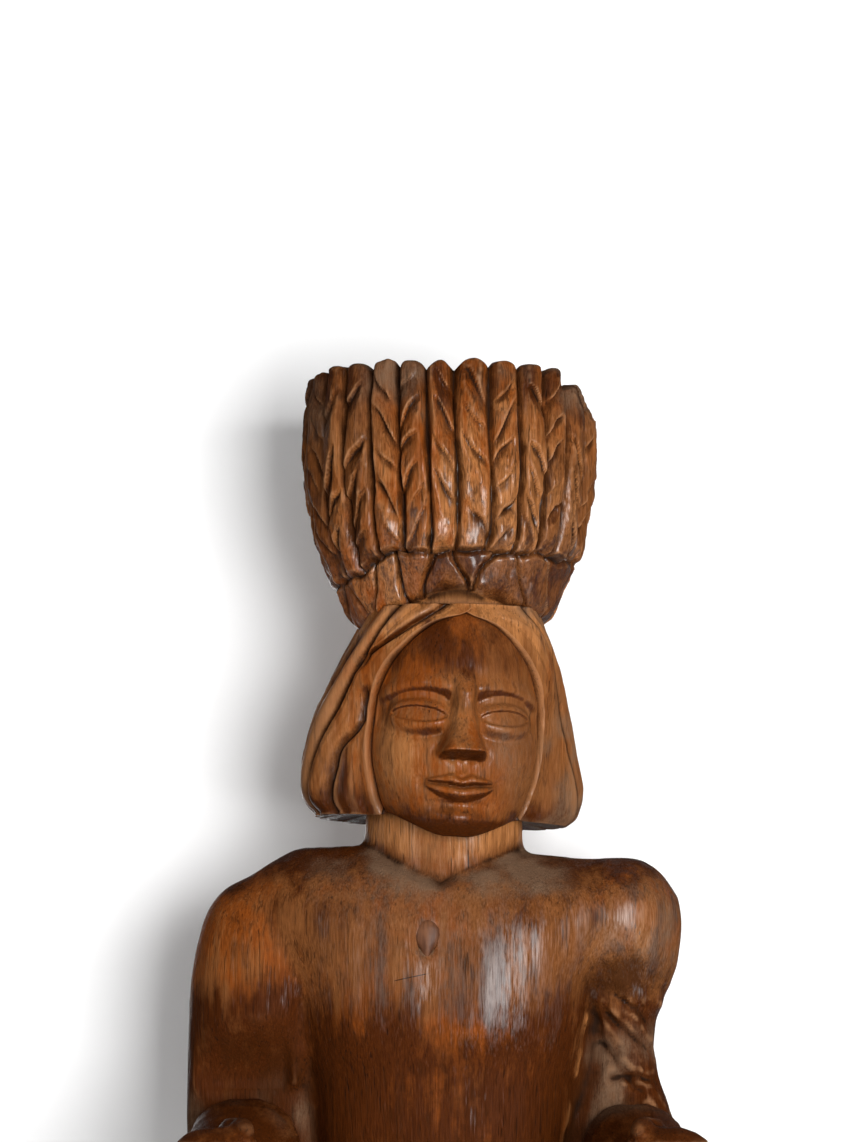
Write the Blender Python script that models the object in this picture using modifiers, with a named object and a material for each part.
"""Carved wooden dancer with a tall plumed headdress, standing on a plinth.

The figure is an assembly of carved blocks: legs, skirt, torso, forearms, head and headdress,
joined by glued dowels, and screwed to its plinth from below. Metres, +Z up, the figure faces -Y.
The origin is at the middle of the felt's underside. "left" and "right" are the figure's own sides,
so its left arm is at +X.
"""

import math

import bmesh
import bpy

MM = 0.001

# Joints between blocks
GLUE_GAP = 0.3 * MM
BORE_GAP = 0.3 * MM

# Base
FELT_THICKNESS = 1.6 * MM
FELT_MARGIN = 3.0 * MM
PLINTH_WIDTH = 132.0 * MM
PLINTH_DEPTH = 104.0 * MM
PLINTH_HEIGHT = 18.0 * MM
PLINTH_CORNER = 9.0 * MM
PLINTH_EDGE = 2.0 * MM

# Legs, heights above the soles
LEG_HEIGHT = 104.0 * MM
KNEE_HEIGHT = 60.0 * MM
CALF_HEIGHT = 42.0 * MM
ANKLE_HEIGHT = 17.0 * MM
HIP_SPREAD = 20.0 * MM
KNEE_SPREAD = 27.0 * MM
ANKLE_SPREAD = 26.0 * MM
KNEE_BEND = 13.0 * MM
CALF_SET_BACK = 3.0 * MM
STEP = 9.0 * MM
THIGH_RADIUS = 15.5 * MM
KNEE_RADIUS = 11.5 * MM
CALF_RADIUS = 13.0 * MM
ANKLE_RADIUS = 8.5 * MM
FOOT_LENGTH = 48.0 * MM
FOOT_WIDTH = 21.0 * MM
FOOT_HEIGHT = 12.0 * MM
HEEL_LENGTH = 13.0 * MM
FOOT_TURN_OUT = math.radians(14.0)

# Skirt
SKIRT_HEIGHT = 72.0 * MM
SKIRT_RECESS = 8.0 * MM
SKIRT_WALL = 7.0 * MM
HEM_WIDTH = 100.0 * MM
HEM_DEPTH = 84.0 * MM
BELT_HEIGHT = 11.0 * MM
BELT_PROUD = 2.2 * MM
PLEAT_COUNT = 20
PLEAT_DEPTH = 3.4 * MM

# Torso, heights above the waist joint
WAIST_WIDTH = 70.0 * MM
WAIST_DEPTH = 50.0 * MM
CHEST_HEIGHT = 60.0 * MM
CHEST_WIDTH = 87.0 * MM
CHEST_DEPTH = 60.0 * MM
SHOULDER_HEIGHT = 90.0 * MM
SHOULDER_WIDTH = 124.0 * MM
SHOULDER_DEPTH = 54.0 * MM
SHOULDER_TOP_HEIGHT = 106.4 * MM
SHOULDER_TOP_WIDTH = 88.0 * MM
SHOULDER_TOP_DEPTH = 24.0 * MM
SHOULDER_DROP_LEFT = 3.2 * MM
TORSO_HEIGHT = 118.2 * MM
NECK_WIDTH = 47.4 * MM
NECK_DEPTH = 42.0 * MM

# Arms, heights above the waist joint
SHOULDER_BALL_HEIGHT_RIGHT = 77.5 * MM
SHOULDER_BALL_HEIGHT_LEFT = 84.0 * MM
SHOULDER_BALL_RADIUS = 20.0 * MM
SHOULDER_SPREAD_RIGHT = 53.5 * MM
SHOULDER_SPREAD_LEFT = 51.0 * MM
UPPER_ARM_HEIGHT = 46.0 * MM
UPPER_ARM_RADIUS_RIGHT = 19.7 * MM
UPPER_ARM_RADIUS_LEFT = 9.4 * MM
ELBOW_HEIGHT = 16.0 * MM
ELBOW_RADIUS_RIGHT = 17.3 * MM
ELBOW_RADIUS_LEFT = 15.8 * MM
ELBOW_SPREAD_RIGHT = 58.0 * MM
ELBOW_SPREAD_LEFT = 55.5 * MM
ELBOW_FACE = 8.0 * MM
WEB_HALF_WIDTH = 14.0 * MM
WEB_FRONT = 7.0 * MM
WEB_BACK = 14.0 * MM
WEB_RISE = 16.0 * MM
FOREARM_LENGTH = 74.0 * MM
FOREARM_SHARE = 0.97
FOREARM_TURN_OUT_RIGHT = 5.0 * MM
FOREARM_TURN_OUT_LEFT = 6.5 * MM
FOREARM_DIP = 5.0 * MM
WRIST_RADIUS = 11.0 * MM
FIST_WIDTH = 29.5 * MM
FIST_HEIGHT = 28.0 * MM
FIST_LENGTH = 30.0 * MM
THUMB_RADIUS = 4.2 * MM

# Chest plug
PLUG_HEIGHT = 77.0 * MM
PLUG_OFFSET = -4.8 * MM
PLUG_RADIUS = 4.0 * MM
PLUG_PROUD = 1.6 * MM
PLUG_SHANK_RADIUS = 2.4 * MM
PLUG_SHANK_LENGTH = 7.0 * MM

# Head, heights above the hair's lower edge
HEAD_HEIGHT = 61.7 * MM
HEAD_TURN = math.radians(8.0)
HEAD_TILT = math.radians(3.0)
NECK_SOCKET = 4.0 * MM
HAIR_HEM_WIDTH = 80.0 * MM
HAIR_WIDTH = 85.0 * MM
HAIR_WIDEST_HEIGHT = 11.0 * MM
HAIR_MIDDLE_WIDTH = 75.0 * MM
HAIR_CROWN_WIDTH = 55.0 * MM
HAIR_FRONT = 22.0 * MM
HAIR_BACK = 38.0 * MM
HAIR_CROWN_BACK = 27.0 * MM
HAIR_LEFT_SHARE = 0.95
CROWN_SPARE = 4.0 * MM
CHIN_DROP = 6.6 * MM
FACE_HEIGHT = 67.0 * MM
FACE_WIDTH = 57.0 * MM
FACE_DEPTH = 34.0 * MM
NOSE_LENGTH = 20.0 * MM
NOSE_WIDTH = 11.0 * MM
NOSE_PROUD = 6.0 * MM
EYE_WIDTH = 14.0 * MM
EYE_SPACING = 27.0 * MM
MOUTH_WIDTH = 19.0 * MM
LIP_HEIGHT = 4.2 * MM

# Locks of hair: the bearing of each cut between two locks from the middle of the face,
# in degrees, at the hem, half way up and at the crown
RIGHT_LOCK_CUTS = ((89, 71, 38), (112, 101, 82), (129, 121, 106), (146, 140, 130), (163, 160, 155))
LEFT_LOCK_CUTS = ((99, 88, 58), (112, 103, 82), (129, 121, 106), (146, 140, 130), (163, 160, 155))
LOCK_CUT_DEPTH = 2.2 * MM
LOCK_SECTION = ((0.0, 1.0), (0.2, 0.25), (0.5, 0.0), (0.8, 0.25))
FRONT_HAIR_SIDES = 14

# Headdress, heights above its seat on the head
HEADDRESS_HEIGHT = 71.5 * MM
HEADDRESS_FOOT_WIDTH = 62.0 * MM
BAND_HEIGHT = 15.5 * MM
BAND_TOP_WIDTH = 79.0 * MM
PLUME_WIDEST_HEIGHT = 44.0 * MM
PLUME_WIDEST_WIDTH = 89.5 * MM
PLUME_TIP_WIDTH = 85.0 * MM
HEADDRESS_OFFSET = 2.0 * MM
HEADDRESS_DEPTH_SHARE = 0.88
PLUME_COUNT = 28
PLUME_RELIEF = 2.2 * MM
TIP_NOTCH = 4.0 * MM
BAND_STEP = 1.6 * MM
CROWN_DISH = 12.5 * MM
CROWN_RIM = 7.0 * MM

# Dowels and screws
HEADDRESS_DOWEL_RADIUS = 5.0 * MM
HEADDRESS_DOWEL_LENGTH = 36.0 * MM
NECK_DOWEL_RADIUS = 5.0 * MM
NECK_DOWEL_LENGTH = 36.0 * MM
ELBOW_DOWEL_RADIUS = 3.0 * MM
ELBOW_DOWEL_LENGTH = 24.0 * MM
WAIST_DOWEL_RADIUS = 4.0 * MM
WAIST_DOWEL_LENGTH = 30.0 * MM
WAIST_DOWEL_SPREAD = 14.0 * MM
HIP_DOWEL_RADIUS = 3.5 * MM
HIP_DOWEL_LENGTH = 28.0 * MM
DOWEL_CHAMFER = 0.8 * MM
SCREW_RADIUS = 2.0 * MM
SCREW_HEAD_RADIUS = 4.2 * MM
SCREW_HEAD_HEIGHT = 2.6 * MM
SCREW_LENGTH = 34.0 * MM
SCREW_POINT = 5.0 * MM

# Levels, stacked up from the felt's underside
PLINTH_BOTTOM = FELT_THICKNESS + GLUE_GAP
PLINTH_TOP = PLINTH_BOTTOM + PLINTH_HEIGHT
SOLE = PLINTH_TOP + GLUE_GAP
LEG_TOP = SOLE + LEG_HEIGHT
RECESS_CEILING = LEG_TOP + GLUE_GAP
HEM = RECESS_CEILING - SKIRT_RECESS
SKIRT_TOP = HEM + SKIRT_HEIGHT
WAIST = SKIRT_TOP + GLUE_GAP
NECK_TOP = WAIST + TORSO_HEIGHT
HAIR_HEM = NECK_TOP + GLUE_GAP - NECK_SOCKET
HEAD_TOP = HAIR_HEM + HEAD_HEIGHT
HEADDRESS_SEAT = HEAD_TOP + GLUE_GAP

# Mesh fineness
BODY_SIDES = 32
LIMB_SIDES = 18
DOWEL_SIDES = 16
SHARP_ANGLE = math.radians(38.0)
SQUARE_BODY = 2.4
ROUND_LIMB = 2.0
SQUARE_FIST = 2.8

for old in list(bpy.data.objects):
    bpy.data.objects.remove(old)

figure = bpy.data.collections.new("wooden_dancer")
cutters = bpy.data.collections.new("cutters")
bpy.context.scene.collection.children.link(figure)
bpy.context.scene.collection.children.link(cutters)


def finish_material(name, colour, roughness, metallic=0.0):
    """A Principled BSDF in one colour."""
    made = bpy.data.materials.new(name)
    made.use_nodes = True
    shader = made.node_tree.nodes["Principled BSDF"]
    shader.inputs["Base Color"].default_value = (*colour, 1.0)
    shader.inputs["Roughness"].default_value = roughness
    shader.inputs["Metallic"].default_value = metallic
    return made


CARVED_WOOD = finish_material("carved_wood", (0.23, 0.085, 0.028), 0.42)
DOWEL_WOOD = finish_material("dowel_wood", (0.55, 0.38, 0.2), 0.7)
PLUG_WOOD = finish_material("plug_wood", (0.07, 0.03, 0.018), 0.35)
FELT = finish_material("felt", (0.03, 0.05, 0.035), 0.95)
SCREW_STEEL = finish_material("screw_steel", (0.6, 0.58, 0.54), 0.35, 1.0)


def smooth(mesh):
    """Shades a mesh smooth, with its sharp edges kept."""
    mesh.shade_smooth()
    mesh.set_sharp_from_angle(angle=SHARP_ANGLE)


def part(name, mesh, material, location=(0, 0, 0), rotation=(0, 0, 0)):
    """A named piece of the figure."""
    made = bpy.data.objects.new(name, mesh)
    mesh.materials.append(material)
    smooth(mesh)
    made.location = location
    made.rotation_euler = rotation
    figure.objects.link(made)
    return made


def helper(name, mesh, location=(0, 0, 0), rotation=(0, 0, 0)):
    """A shape that only joins or cuts a piece."""
    made = bpy.data.objects.new(name, mesh)
    smooth(mesh)
    made.location = location
    made.rotation_euler = rotation
    made.hide_render = True
    made.display_type = "WIRE"
    cutters.objects.link(made)
    return made


def combine(target, other, operation):
    """Joins another shape to the target, or cuts it away."""
    modifier = target.modifiers.new(f"{operation.lower()} {other.name}", "BOOLEAN")
    modifier.operation = operation
    modifier.object = other


def through(keys, steps):
    """Rows of numbers on a smooth curve through the key rows, with this many steps between two keys."""
    rows = []
    last = len(keys) - 1
    for i in range(last):
        four = keys[max(i - 1, 0)], keys[i], keys[i + 1], keys[min(i + 2, last)]
        for step in range(steps):
            rows.append(tuple(catmull_rom(*column, step / steps) for column in zip(*four)))
    rows.append(tuple(keys[-1]))
    return rows


def catmull_rom(before, start, end, after, t):
    """A number between start and end, on the cubic through all four."""
    pull = (end - before) / 2
    push = (after - start) / 2
    rise = start - end
    return ((2 * rise + pull + push) * t**3 - (3 * rise + 2 * pull + push) * t**2 + pull * t + start)


def power_cosine(angle, squareness):
    """The cosine of a rounded square: squareness 2 is a circle."""
    value = math.cos(angle)
    return math.copysign(abs(value) ** (2 / squareness), value)


def oval(z, x, y, half_width, front, back, squareness, sides):
    """A level ring of points, rounded like an oval whose front (-Y) and back depths differ."""
    ring = []
    for i in range(sides):
        angle = math.tau * i / sides
        side = power_cosine(angle, squareness)
        deep = power_cosine(angle - math.pi / 2, squareness)
        ring.append((x + half_width * side, y + (back if deep > 0 else front) * deep, z))
    return ring


def loft(name, rings):
    """A closed solid through rings of points, lowest ring first."""
    shape = bmesh.new()
    loops = [[shape.verts.new(point) for point in ring] for ring in rings]
    for lower, upper in zip(loops, loops[1:]):
        for i, corner in enumerate(lower):
            j = (i + 1) % len(lower)
            shape.faces.new((corner, lower[j], upper[j], upper[i]))
    shape.faces.new(reversed(loops[0]))
    shape.faces.new(loops[-1])
    bmesh.ops.recalc_face_normals(shape, faces=shape.faces)
    mesh = bpy.data.meshes.new(name)
    shape.to_mesh(mesh)
    shape.free()
    return mesh


def column(name, keys, steps, squareness, sides):
    """A loft through ovals. A key row is height, x, y, half width, front depth and back depth."""
    return loft(name, [oval(*row, squareness, sides) for row in through(keys, steps)])


def cylinder(name, radius, length, sides=DOWEL_SIDES):
    """A cylinder along Z, centred on its origin."""
    shape = bmesh.new()
    bmesh.ops.create_cone(
        shape, cap_ends=True, segments=sides, radius1=radius, radius2=radius, depth=length
    )
    mesh = bpy.data.meshes.new(name)
    shape.to_mesh(mesh)
    shape.free()
    return mesh


def box(name, size):
    """A box of this size, centred on its origin."""
    shape = bmesh.new()
    bmesh.ops.create_cube(shape, size=1.0)
    bmesh.ops.scale(shape, vec=size, verts=shape.verts)
    mesh = bpy.data.meshes.new(name)
    shape.to_mesh(mesh)
    shape.free()
    return mesh


def ellipsoid(name, half_sizes, segments, rings):
    """A stretched ball, centred on its origin."""
    shape = bmesh.new()
    bmesh.ops.create_uvsphere(shape, u_segments=segments, v_segments=rings, radius=1.0)
    bmesh.ops.scale(shape, vec=half_sizes, verts=shape.verts)
    mesh = bpy.data.meshes.new(name)
    shape.to_mesh(mesh)
    shape.free()
    return mesh


def turned(name, profile, sides):
    """A solid of revolution about Z from (radius, height) points, listed from its top to its bottom."""
    mesh = bpy.data.meshes.new(name)
    points = [(radius, 0, height) for radius, height in profile]
    mesh.from_pydata(points, [(i, i + 1) for i in range(len(points) - 1)], [])
    spinner = bpy.data.objects.new(name, mesh)
    bpy.context.scene.collection.objects.link(spinner)
    screw = spinner.modifiers.new("turn", "SCREW")
    screw.steps = screw.render_steps = sides
    screw.use_merge_vertices = True
    screw.merge_threshold = 0.01 * MM
    evaluated = spinner.evaluated_get(bpy.context.evaluated_depsgraph_get())
    made = bpy.data.meshes.new_from_object(evaluated)
    bpy.data.objects.remove(spinner)
    made.name = name
    return made


def dowel(name, radius, length, blocks, location, rotation=(0, 0, 0)):
    """A chamfered dowel centred on a joint, and its bore in each of the blocks that it joins."""
    pin = part(name, cylinder(name, radius, length), DOWEL_WOOD, location, rotation)
    edge = pin.modifiers.new("chamfer", "BEVEL")
    edge.width = DOWEL_CHAMFER
    edge.segments = 1
    edge.limit_method = "ANGLE"
    bore = helper(
        f"{name}_bore", cylinder(f"{name}_bore", radius + BORE_GAP, length + 2 * BORE_GAP), location, rotation
    )
    for block in blocks:
        combine(block, bore, "DIFFERENCE")
    return pin


def rounded_slab(name, width, depth, height, corner, material, bottom):
    """A flat board with rounded corners, standing on the level given as its bottom."""
    outline = bpy.data.curves.new(name, "CURVE")
    outline.dimensions = "2D"
    outline.fill_mode = "BOTH"
    outline.extrude = height / 2
    spline = outline.splines.new("POLY")
    points = []
    for turn in range(4):
        centre_x = (width / 2 - corner) * (1 if turn in (0, 3) else -1)
        centre_y = (depth / 2 - corner) * (1 if turn in (0, 1) else -1)
        for step in range(6):
            angle = math.pi / 2 * (turn + step / 5)
            points.append((centre_x + corner * math.cos(angle), centre_y + corner * math.sin(angle)))
    spline.points.add(len(points) - 1)
    for spot, (x, y) in zip(spline.points, points):
        spot.co = (x, y, 0, 1)
    spline.use_cyclic_u = True
    drawn = bpy.data.objects.new(name, outline)
    bpy.context.scene.collection.objects.link(drawn)
    mesh = bpy.data.meshes.new_from_object(drawn.evaluated_get(bpy.context.evaluated_depsgraph_get()))
    bpy.data.objects.remove(drawn)
    welded = bmesh.new()
    welded.from_mesh(mesh)
    bmesh.ops.remove_doubles(welded, verts=welded.verts, dist=0.001 * MM)
    bmesh.ops.recalc_face_normals(welded, faces=welded.faces)
    welded.to_mesh(mesh)
    welded.free()
    return part(name, mesh, material, (0, 0, bottom + height / 2))


def make_base():
    """The felt sheet and the plinth with its eased upper and lower edges."""
    rounded_slab(
        "felt_base",
        PLINTH_WIDTH - 2 * FELT_MARGIN,
        PLINTH_DEPTH - 2 * FELT_MARGIN,
        FELT_THICKNESS,
        PLINTH_CORNER - FELT_MARGIN,
        FELT,
        0.0,
    )
    plinth = rounded_slab(
        "plinth", PLINTH_WIDTH, PLINTH_DEPTH, PLINTH_HEIGHT, PLINTH_CORNER, CARVED_WOOD, PLINTH_BOTTOM
    )
    edge = plinth.modifiers.new("eased edge", "BEVEL")
    edge.width = PLINTH_EDGE
    edge.segments = 2
    edge.limit_method = "ANGLE"
    edge.angle_limit = math.radians(60)
    return plinth


def foot_rings():
    """Upright sections of a foot along +Z from its heel, with the sole at y = 0 and the instep at +y."""
    half = FOOT_WIDTH / 2
    keys = (
        (-HEEL_LENGTH, 0.45 * half, 0.55 * FOOT_HEIGHT),
        (-0.6 * HEEL_LENGTH, 0.7 * half, 0.95 * FOOT_HEIGHT),
        (0.0, 0.76 * half, 1.2 * FOOT_HEIGHT),
        (0.45 * (FOOT_LENGTH - HEEL_LENGTH), half, 0.95 * FOOT_HEIGHT),
        (0.8 * (FOOT_LENGTH - HEEL_LENGTH), 0.95 * half, 0.6 * FOOT_HEIGHT),
        (FOOT_LENGTH - HEEL_LENGTH, 0.6 * half, 0.38 * FOOT_HEIGHT),
    )
    rings = []
    for z, half_width, height in through(keys, 2):
        ring = oval(z, 0, height / 2, half_width, height / 2, height / 2, SQUARE_FIST, LIMB_SIDES)
        rings.append(ring)
    return rings


def make_leg(name, side, step, plinth):
    """A bent leg with its foot, and the screw that holds it to the plinth. Side is 1 for the left."""
    middle = (KNEE_HEIGHT + LEG_HEIGHT) / 2
    keys = (
        (0.4 * FOOT_HEIGHT, ANKLE_SPREAD, step, ANKLE_RADIUS),
        (ANKLE_HEIGHT, ANKLE_SPREAD, step, ANKLE_RADIUS),
        (CALF_HEIGHT, (ANKLE_SPREAD + KNEE_SPREAD) / 2, step + CALF_SET_BACK - KNEE_BEND / 2, CALF_RADIUS),
        (KNEE_HEIGHT, KNEE_SPREAD, step / 2 - KNEE_BEND, KNEE_RADIUS),
        (middle, (KNEE_SPREAD + HIP_SPREAD) / 2, step / 4 - KNEE_BEND / 2, (KNEE_RADIUS + THIGH_RADIUS) / 2),
        (LEG_HEIGHT, HIP_SPREAD, 0.0, THIGH_RADIUS),
    )
    rows = [(z, side * x, y, r, r, r) for z, x, y, r in keys]
    leg = part(name, column(name, rows, 3, ROUND_LIMB, LIMB_SIDES), CARVED_WOOD, (0, 0, SOLE))
    foot = helper(
        f"{name}_foot",
        loft(f"{name}_foot", foot_rings()),
        (side * ANKLE_SPREAD, step, SOLE),
        (math.pi / 2, 0, side * FOOT_TURN_OUT),
    )
    combine(leg, foot, "UNION")
    make_foot_screw(name.replace("leg", "foot_screw"), (side * ANKLE_SPREAD, step), (plinth, leg))
    return leg


def make_foot_screw(name, spot, blocks):
    """A countersunk wood screw up through the plinth into the foot, and its hole."""
    profile = (
        (0, SCREW_LENGTH),
        (SCREW_RADIUS, SCREW_LENGTH - SCREW_POINT),
        (SCREW_RADIUS, SCREW_HEAD_HEIGHT),
        (SCREW_HEAD_RADIUS, 0),
        (0, 0),
    )
    location = (*spot, PLINTH_BOTTOM + BORE_GAP)
    part(name, turned(name, profile, DOWEL_SIDES), SCREW_STEEL, location)
    wide = BORE_GAP
    hole = (
        (0, SCREW_LENGTH + wide),
        (SCREW_RADIUS + wide, SCREW_LENGTH - SCREW_POINT),
        (SCREW_RADIUS + wide, SCREW_HEAD_HEIGHT),
        (SCREW_HEAD_RADIUS + wide, 0),
        (SCREW_HEAD_RADIUS + wide, -3 * wide),
        (0, -3 * wide),
    )
    cutter = helper(f"{name}_hole", turned(f"{name}_hole", hole, DOWEL_SIDES), location)
    for block in blocks:
        combine(block, cutter, "DIFFERENCE")


def pleated_ring(z, half_width, half_depth, depth):
    """A level ring with a rounded crest and a sharp valley for each pleat of the skirt."""
    ring = []
    sides = 4 * PLEAT_COUNT
    for i in range(sides):
        angle = math.tau * i / sides
        inward = depth * (1 - abs(math.sin(PLEAT_COUNT * angle / 2)))
        ring.append(((half_width - inward) * math.cos(angle), (half_depth - inward) * math.sin(angle), z))
    return ring


def make_skirt():
    """The hip block: a belt and a flared pleated skirt, hollowed a little underneath for the legs."""
    belt_half_width = WAIST_WIDTH / 2 + BELT_PROUD
    belt_half_depth = WAIST_DEPTH / 2 + BELT_PROUD
    below_belt = SKIRT_HEIGHT - BELT_HEIGHT
    rings = []
    levels = 5
    for level in range(levels + 1):
        share = level / levels
        flare = (1 - share) ** 1.4
        half_width = WAIST_WIDTH / 2 + (HEM_WIDTH - WAIST_WIDTH) / 2 * flare
        half_depth = WAIST_DEPTH / 2 + (HEM_DEPTH - WAIST_DEPTH) / 2 * flare
        rings.append(pleated_ring(below_belt * share, half_width, half_depth, PLEAT_DEPTH * (1 - share / 2)))
    rings.append(pleated_ring(below_belt + BELT_PROUD, belt_half_width, belt_half_depth, 0.0))
    rings.append(pleated_ring(SKIRT_HEIGHT - BELT_PROUD, belt_half_width, belt_half_depth, 0.0))
    rings.append(pleated_ring(SKIRT_HEIGHT, WAIST_WIDTH / 2, WAIST_DEPTH / 2, 0.0))
    skirt = part("skirt", loft("skirt", rings), CARVED_WOOD, (0, 0, HEM))
    half_width = HEM_WIDTH / 2 - SKIRT_WALL
    half_depth = HEM_DEPTH / 2 - SKIRT_WALL
    keys = [(z, 0, 0, half_width, half_depth, half_depth) for z in (-SKIRT_RECESS, SKIRT_RECESS)]
    hollow = helper("skirt_hollow", column("skirt_hollow", keys, 1, ROUND_LIMB, BODY_SIDES), (0, 0, HEM))
    combine(skirt, hollow, "DIFFERENCE")
    return skirt


def torso_rows():
    """Height, x, y, half width, front and back depth of the trunk, from the waist to the shoulders' top."""
    keys = (
        (0.0, WAIST_WIDTH / 2, WAIST_DEPTH / 2),
        (CHEST_HEIGHT, CHEST_WIDTH / 2, CHEST_DEPTH / 2),
        (SHOULDER_HEIGHT, SHOULDER_WIDTH / 2, SHOULDER_DEPTH / 2),
        (SHOULDER_TOP_HEIGHT, SHOULDER_TOP_WIDTH / 2, SHOULDER_TOP_DEPTH / 2),
    )
    return through([(z, 0.0, 0.0, width, depth, depth) for z, width, depth in keys], 5)


def sloped(ring):
    """A ring of the trunk, with the top of the left shoulder lowered."""
    points = []
    for x, y, z in ring:
        up = max(z - SHOULDER_HEIGHT, 0.0) / (SHOULDER_TOP_HEIGHT - SHOULDER_HEIGHT)
        aside = min(max(2 * x / NECK_WIDTH, 0.0), 1.0)
        points.append((x, y, z - SHOULDER_DROP_LEFT * up * aside))
    return points


def neck_mesh(name, extra, low, high):
    """The neck between two heights above the waist joint, made larger all round by extra."""
    half_width = NECK_WIDTH / 2 + extra
    half_depth = NECK_DEPTH / 2 + extra
    keys = [(z, 0.0, 0.0, half_width, half_depth, half_depth) for z in (low, high)]
    return column(name, keys, 1, ROUND_LIMB, BODY_SIDES)


def arm_rows(shoulder_height, shoulder_spread, elbow_spread, arm_radius, elbow_radius):
    """An upper arm from its round elbow up to its round shoulder: height, x, y and radius."""
    ball = SHOULDER_BALL_RADIUS
    middle_spread = (shoulder_spread + elbow_spread) / 2
    return (
        (ELBOW_HEIGHT - 0.97 * elbow_radius, elbow_spread, 0.0, 0.3 * elbow_radius),
        (ELBOW_HEIGHT - 0.7 * elbow_radius, elbow_spread, 0.0, 0.72 * elbow_radius),
        (ELBOW_HEIGHT, elbow_spread, 0.0, elbow_radius),
        (UPPER_ARM_HEIGHT, middle_spread, 0.0, arm_radius),
        (shoulder_height, shoulder_spread, 0.0, ball),
        (shoulder_height + 0.7 * ball, shoulder_spread, 0.0, 0.72 * ball),
        (shoulder_height + 0.97 * ball, shoulder_spread, 0.0, 0.3 * ball),
    )


def add_arm(torso, name, side, sizes):
    """Joins an upper arm to the torso, with the flat face at its elbow that the forearm is glued to.

    A web of uncut wood behind the armpit keeps the arm joined to the trunk down to its elbow."""
    rows = [(z, side * x, y, r, r, r) for z, x, y, r in arm_rows(*sizes)]
    arm = helper(name, column(name, rows, 3, ROUND_LIMB, LIMB_SIDES), (0, 0, WAIST))
    elbow_spread, elbow_radius = sizes[2], sizes[4]
    reach = 4 * elbow_radius
    seat = helper(
        f"{name}_seat",
        box(f"{name}_seat", (reach, reach, reach)),
        (side * elbow_spread, -ELBOW_FACE - reach / 2, WAIST + ELBOW_HEIGHT + 1.1 * elbow_radius - reach / 2),
    )
    combine(arm, seat, "DIFFERENCE")
    combine(torso, arm, "UNION")
    web_middle = side * (elbow_spread - WEB_HALF_WIDTH)
    half_elbow = 0.4 * elbow_radius
    heights = (ELBOW_HEIGHT - half_elbow, ELBOW_HEIGHT + half_elbow, UPPER_ARM_HEIGHT + WEB_RISE)
    web_rows = [(z, web_middle, 0.0, WEB_HALF_WIDTH, WEB_FRONT, WEB_BACK) for z in heights]
    web = helper(f"{name}_web", column(f"{name}_web", web_rows, 1, SQUARE_BODY, LIMB_SIDES), (0, 0, WAIST))
    combine(torso, web, "UNION")


ARM_SIZES = {
    "right": (
        SHOULDER_BALL_HEIGHT_RIGHT,
        SHOULDER_SPREAD_RIGHT,
        ELBOW_SPREAD_RIGHT,
        UPPER_ARM_RADIUS_RIGHT,
        ELBOW_RADIUS_RIGHT,
    ),
    "left": (
        SHOULDER_BALL_HEIGHT_LEFT,
        SHOULDER_SPREAD_LEFT,
        ELBOW_SPREAD_LEFT,
        UPPER_ARM_RADIUS_LEFT,
        ELBOW_RADIUS_LEFT,
    ),
}
SIDES = {"right": -1, "left": 1}
TURN_OUT = {"right": FOREARM_TURN_OUT_RIGHT, "left": FOREARM_TURN_OUT_LEFT}


def make_torso():
    """The trunk with its neck and upper arms, carved from one block."""
    mesh = loft("torso", [sloped(oval(*row, SQUARE_BODY, BODY_SIDES)) for row in torso_rows()])
    torso = part("torso", mesh, CARVED_WOOD, (0, 0, WAIST))
    neck = helper("neck", neck_mesh("neck", 0.0, SHOULDER_HEIGHT, TORSO_HEIGHT), (0, 0, WAIST))
    combine(torso, neck, "UNION")
    for side_name, side in SIDES.items():
        add_arm(torso, f"{side_name}_upper_arm", side, ARM_SIZES[side_name])
    return torso


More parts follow.
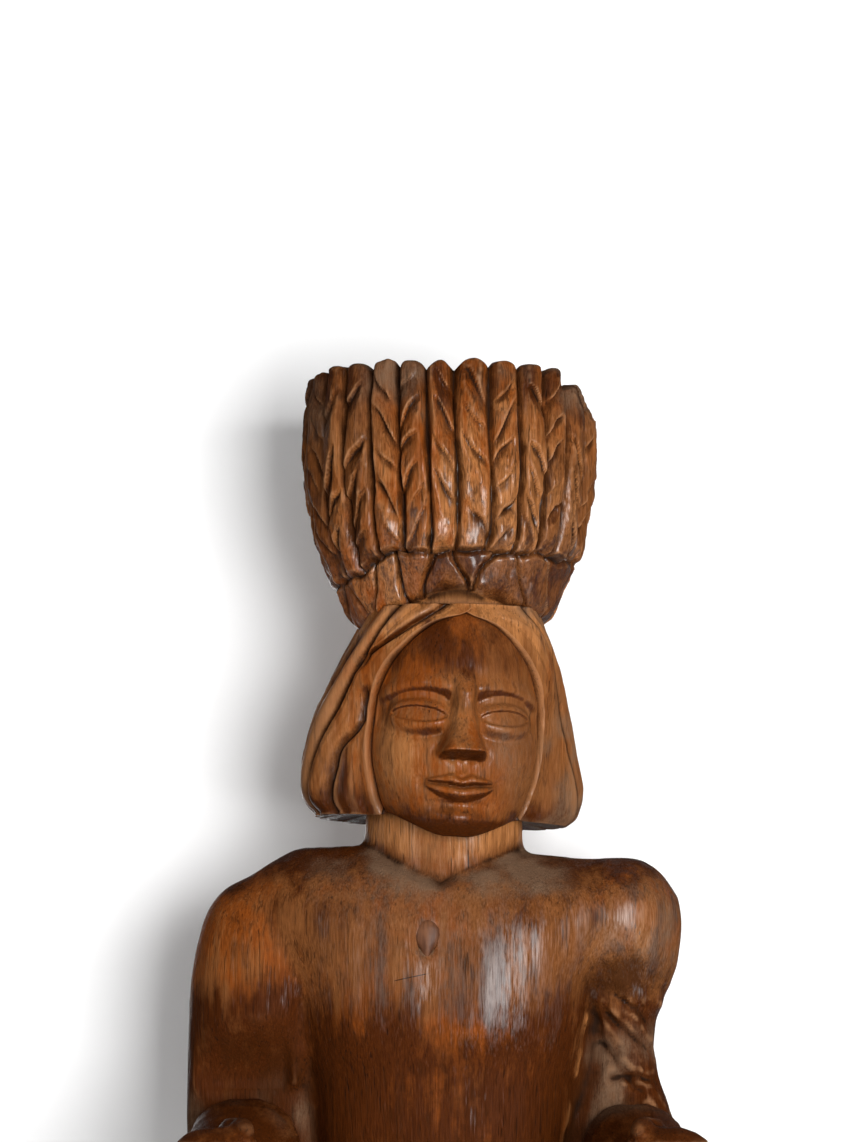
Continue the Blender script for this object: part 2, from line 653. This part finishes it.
def make_forearm(side_name, torso):
    """A forearm that ends in a fist with its thumb on top, and the dowel at its elbow."""
    side = SIDES[side_name]
    elbow_spread = ARM_SIZES[side_name][2]
    radius = FOREARM_SHARE * ARM_SIZES[side_name][4]
    name = f"{side_name}_forearm"
    turn_out = TURN_OUT[side_name]
    wrist = FOREARM_LENGTH - FIST_LENGTH
    keys = (
        (0.0, radius, radius),
        (0.4 * wrist, 0.95 * radius, 0.95 * radius),
        (wrist, WRIST_RADIUS, WRIST_RADIUS),
        (wrist + 0.35 * FIST_LENGTH, 0.94 * FIST_WIDTH / 2, 0.94 * FIST_HEIGHT / 2),
        (wrist + 0.7 * FIST_LENGTH, FIST_WIDTH / 2, FIST_HEIGHT / 2),
        (FOREARM_LENGTH - 0.08 * FIST_LENGTH, 0.72 * FIST_WIDTH / 2, 0.72 * FIST_HEIGHT / 2),
        (FOREARM_LENGTH, 0.4 * FIST_WIDTH / 2, 0.4 * FIST_HEIGHT / 2),
    )
    rows = []
    for z, width, height in keys:
        share = min(z / wrist, 1.0) ** 2
        rows.append((z, side * turn_out * share, -FOREARM_DIP * share, width, height, height))
    elbow = (side * elbow_spread, -ELBOW_FACE, WAIST + ELBOW_HEIGHT)
    start = (elbow[0], elbow[1] - GLUE_GAP, elbow[2])
    turn = (math.pi / 2, 0, 0)
    forearm = part(name, column(name, rows, 2, SQUARE_BODY, LIMB_SIDES), CARVED_WOOD, start, turn)
    thumb = helper(
        f"{side_name}_thumb",
        ellipsoid(f"{side_name}_thumb", (THUMB_RADIUS, FIST_LENGTH / 2.6, THUMB_RADIUS), 10, 8),
        (
            elbow[0] + side * (turn_out - 0.2 * FIST_WIDTH),
            start[1] - wrist - 0.55 * FIST_LENGTH,
            elbow[2] - FOREARM_DIP + FIST_HEIGHT / 2 - 0.3 * THUMB_RADIUS,
        ),
        (0, 0, side * math.radians(-18)),
    )
    combine(forearm, thumb, "UNION")
    dowel(
        f"{side_name}_elbow_dowel", ELBOW_DOWEL_RADIUS, ELBOW_DOWEL_LENGTH, (torso, forearm), elbow, turn
    )


def make_chest_plug(torso):
    """The small dark button plug let into the breast."""
    front = front_at(torso_rows(), PLUG_HEIGHT)
    location = (PLUG_OFFSET, -front - GLUE_GAP, WAIST + PLUG_HEIGHT)
    turn = (math.pi / 2, 0, 0)
    profile = (
        (0, PLUG_PROUD),
        (0.6 * PLUG_RADIUS, 0.8 * PLUG_PROUD),
        (PLUG_RADIUS, GLUE_GAP),
        (PLUG_SHANK_RADIUS, GLUE_GAP),
        (PLUG_SHANK_RADIUS, -PLUG_SHANK_LENGTH),
        (0, -PLUG_SHANK_LENGTH),
    )
    part("chest_plug", turned("chest_plug", profile, DOWEL_SIDES), PLUG_WOOD, location, turn)
    bore = helper(
        "chest_plug_bore",
        cylinder("chest_plug_bore", PLUG_SHANK_RADIUS + BORE_GAP, 2 * (PLUG_SHANK_LENGTH + BORE_GAP)),
        location,
        turn,
    )
    combine(torso, bore, "DIFFERENCE")


def face_rows():
    """Height, x, y, half width, front and back depth of the plain face, from its chin to its hairline."""
    shares = (
        (0.0, 0.26, 0.72),
        (0.07, 0.6, 0.88),
        (0.22, 0.84, 0.96),
        (0.4, 0.97, 1.0),
        (0.6, 1.0, 1.0),
        (0.8, 0.88, 0.93),
        (1.0, 0.6, 0.7),
    )
    keys = []
    for height, width, depth in shares:
        row = (FACE_HEIGHT * height - CHIN_DROP, 0.0, 0.0, FACE_WIDTH / 2 * width, FACE_DEPTH * depth, 0.0)
        keys.append(row)
    return through(keys, 2)


def front_at(rows, height):
    """The front depth at a height between two rows."""
    low = [row for row in rows if row[0] <= height][-1]
    high = [row for row in rows if row[0] > height][0]
    share = (height - low[0]) / (high[0] - low[0])
    return low[4] + share * (high[4] - low[4])


def hair_reach(bearing, half_width, front, back):
    """How far out the hair lies at a bearing from the middle of the face. Its left side is narrower."""
    side, deep = math.sin(bearing), math.cos(bearing)
    half_width *= HAIR_LEFT_SHARE if side > 0 else 1.0
    across = (abs(side) / half_width) ** SQUARE_BODY
    along = (abs(deep) / (front if deep > 0 else back)) ** SQUARE_BODY
    return (across + along) ** (-1 / SQUARE_BODY)


def cut_bearing(hem, middle, crown, share):
    """The bearing of a cut in degrees, at a share of the way from the hem to the crown."""
    if share < 0.5:
        return catmull_rom(hem, hem, middle, crown, 2 * share)
    return catmull_rom(hem, middle, crown, crown, 2 * share - 1)


def lock_bearings(share):
    """The cuts between the locks in order round the head, from the last one before the face."""
    left = [cut_bearing(*cut, share) for cut in LEFT_LOCK_CUTS]
    right = [360 - cut_bearing(*cut, share) for cut in RIGHT_LOCK_CUTS]
    degrees = [right[0] - 360, *left, 180, *reversed(right)]
    return [math.radians(angle) for angle in degrees]


def hair_ring(z, half_width, front, back):
    """A level ring of hair: smooth over the face, and a V cut between two locks elsewhere."""
    cuts = lock_bearings(min(z / HEAD_HEIGHT, 1.0))
    places = [(step / FRONT_HAIR_SIDES, float(step == 0)) for step in range(FRONT_HAIR_SIDES)]
    ring = []
    for start, stop in zip(cuts, cuts[1:]):
        for share, depth in places:
            bearing = start + (stop - start) * share
            reach = hair_reach(bearing, half_width, front, back) - LOCK_CUT_DEPTH * depth
            ring.append((reach * math.sin(bearing), -reach * math.cos(bearing), z))
        places = LOCK_SECTION
    return ring


def make_head():
    """The bobbed hair with the face set in it, socketed on the neck's end. The face is a plain one."""
    middle = (HAIR_WIDEST_HEIGHT + HEAD_HEIGHT) / 2
    keys = (
        (0.0, HAIR_HEM_WIDTH / 2, 0.8 * HAIR_FRONT, 0.92 * HAIR_BACK),
        (HAIR_WIDEST_HEIGHT, HAIR_WIDTH / 2, HAIR_FRONT, HAIR_BACK),
        (middle, HAIR_MIDDLE_WIDTH / 2, HAIR_FRONT, HAIR_BACK),
        (HEAD_HEIGHT + CROWN_SPARE, HAIR_CROWN_WIDTH / 2, HAIR_FRONT, HAIR_CROWN_BACK),
    )
    turn = (0, HEAD_TILT, HEAD_TURN)
    mesh = loft("head", [hair_ring(*row) for row in through(keys, 4)])
    head = part("head", mesh, CARVED_WOOD, (0, 0, HAIR_HEM), turn)
    for name, mesh, place in face_shapes():
        feature = helper(name, mesh, place)
        feature.parent = head
        combine(head, feature, "UNION")
    crown = helper("crown_cut", box("crown_cut", (2 * HAIR_WIDTH, 2 * HAIR_WIDTH, HEAD_HEIGHT)))
    crown.location.z = HEAD_TOP + HEAD_HEIGHT / 2
    combine(head, crown, "DIFFERENCE")
    socket = helper(
        "neck_socket", neck_mesh("neck_socket", GLUE_GAP, SHOULDER_TOP_HEIGHT, TORSO_HEIGHT + GLUE_GAP)
    )
    socket.location.z = WAIST
    combine(head, socket, "DIFFERENCE")
    return head


def face_shapes():
    """The solids that make up the face, with their places on the head.

    The eyes lie half way up the face, the nose ends below them by its own length,
    and the mouth lies a third of the way from the nose to the chin."""
    rows = face_rows()
    eyes = 0.5 * FACE_HEIGHT - CHIN_DROP
    nose = eyes - NOSE_LENGTH / 2
    nose_end = eyes - NOSE_LENGTH
    mouth = nose_end - (nose_end + CHIN_DROP) / 3
    face = loft("face", [oval(*row, SQUARE_BODY, BODY_SIDES) for row in rows])
    eye_depth = 0.9 * front_at(rows, eyes)
    eye_half = (EYE_WIDTH / 2, EYE_WIDTH / 4, EYE_WIDTH / 4)
    nose_half = (NOSE_WIDTH / 2, NOSE_PROUD, 0.6 * NOSE_LENGTH)
    lip_half = (MOUTH_WIDTH / 2, LIP_HEIGHT, LIP_HEIGHT)
    return (
        ("face", face, (0, 0, 0)),
        ("nose", ellipsoid("nose", nose_half, LIMB_SIDES, 12), (0, -front_at(rows, nose), nose)),
        ("right_eye", ellipsoid("right_eye", eye_half, 12, 8), (-EYE_SPACING / 2, -eye_depth, eyes)),
        ("left_eye", ellipsoid("left_eye", eye_half, 12, 8), (EYE_SPACING / 2, -eye_depth, eyes)),
        ("lips", ellipsoid("lips", lip_half, 12, 8), (0, LIP_HEIGHT / 2 - front_at(rows, mouth), mouth)),
    )


def plume_ring(z, half_width, relief, notch=0.0):
    """A ring round the headdress with a rounded rib for each plume, its valleys cut in and notched down."""
    ring = []
    sides = 4 * PLUME_COUNT
    for i in range(sides):
        angle = math.tau * i / sides
        valley = 1 - abs(math.sin(PLUME_COUNT * angle / 2))
        radius = half_width - relief * valley
        ring.append(
            (
                radius * math.cos(angle),
                HEADDRESS_DEPTH_SHARE * radius * math.sin(angle),
                z - notch * valley,
            )
        )
    return ring


def make_headdress():
    """A pleated band that flares into a tier of upright plumes with rounded tips, dished on top."""
    foot, band, widest, tip = (
        HEADDRESS_FOOT_WIDTH / 2,
        BAND_TOP_WIDTH / 2,
        PLUME_WIDEST_WIDTH / 2,
        PLUME_TIP_WIDTH / 2,
    )
    rings = [
        plume_ring(0.0, foot, PLUME_RELIEF / 2),
        plume_ring(BAND_HEIGHT, band - BAND_STEP, PLUME_RELIEF),
    ]
    keys = (
        (BAND_HEIGHT + BAND_STEP / 2, band),
        (PLUME_WIDEST_HEIGHT, widest),
        (HEADDRESS_HEIGHT - TIP_NOTCH, tip + 0.6 * (widest - tip)),
    )
    rings += [plume_ring(z, half_width, PLUME_RELIEF) for z, half_width in through(keys, 3)]
    rings.append(plume_ring(HEADDRESS_HEIGHT - TIP_NOTCH / 4, tip, PLUME_RELIEF, TIP_NOTCH / 2))
    rings.append(plume_ring(HEADDRESS_HEIGHT, tip - CROWN_RIM / 3, PLUME_RELIEF, TIP_NOTCH))
    rings.append(plume_ring(HEADDRESS_HEIGHT - TIP_NOTCH, tip - CROWN_RIM, PLUME_RELIEF))
    rings.append(plume_ring(HEADDRESS_HEIGHT - 0.8 * CROWN_DISH, tip - CROWN_RIM - CROWN_DISH / 8, 0.0))
    rings.append(plume_ring(HEADDRESS_HEIGHT - CROWN_DISH, tip - CROWN_RIM - CROWN_DISH / 2, 0.0))
    return part("headdress", loft("headdress", rings), CARVED_WOOD, (HEADDRESS_OFFSET, 0, HEADDRESS_SEAT))


def main():
    plinth = make_base()
    skirt = make_skirt()
    torso = make_torso()
    for side_name, side in SIDES.items():
        step = -side * STEP
        leg = make_leg(f"{side_name}_leg", side, step, plinth)
        hip = (side * HIP_SPREAD, 0, LEG_TOP + GLUE_GAP / 2)
        dowel(f"{side_name}_hip_dowel", HIP_DOWEL_RADIUS, HIP_DOWEL_LENGTH, (leg, skirt), hip)
        waist = (side * WAIST_DOWEL_SPREAD, 0, SKIRT_TOP + GLUE_GAP / 2)
        dowel(f"{side_name}_waist_dowel", WAIST_DOWEL_RADIUS, WAIST_DOWEL_LENGTH, (skirt, torso), waist)
        make_forearm(side_name, torso)
    make_chest_plug(torso)
    head = make_head()
    headdress = make_headdress()
    neck = (0, 0, NECK_TOP + GLUE_GAP / 2)
    dowel("neck_dowel", NECK_DOWEL_RADIUS, NECK_DOWEL_LENGTH, (torso, head), neck)
    crown = (HEADDRESS_OFFSET, 0, HEAD_TOP + GLUE_GAP / 2)
    dowel("headdress_dowel", HEADDRESS_DOWEL_RADIUS, HEADDRESS_DOWEL_LENGTH, (head, headdress), crown)


main()
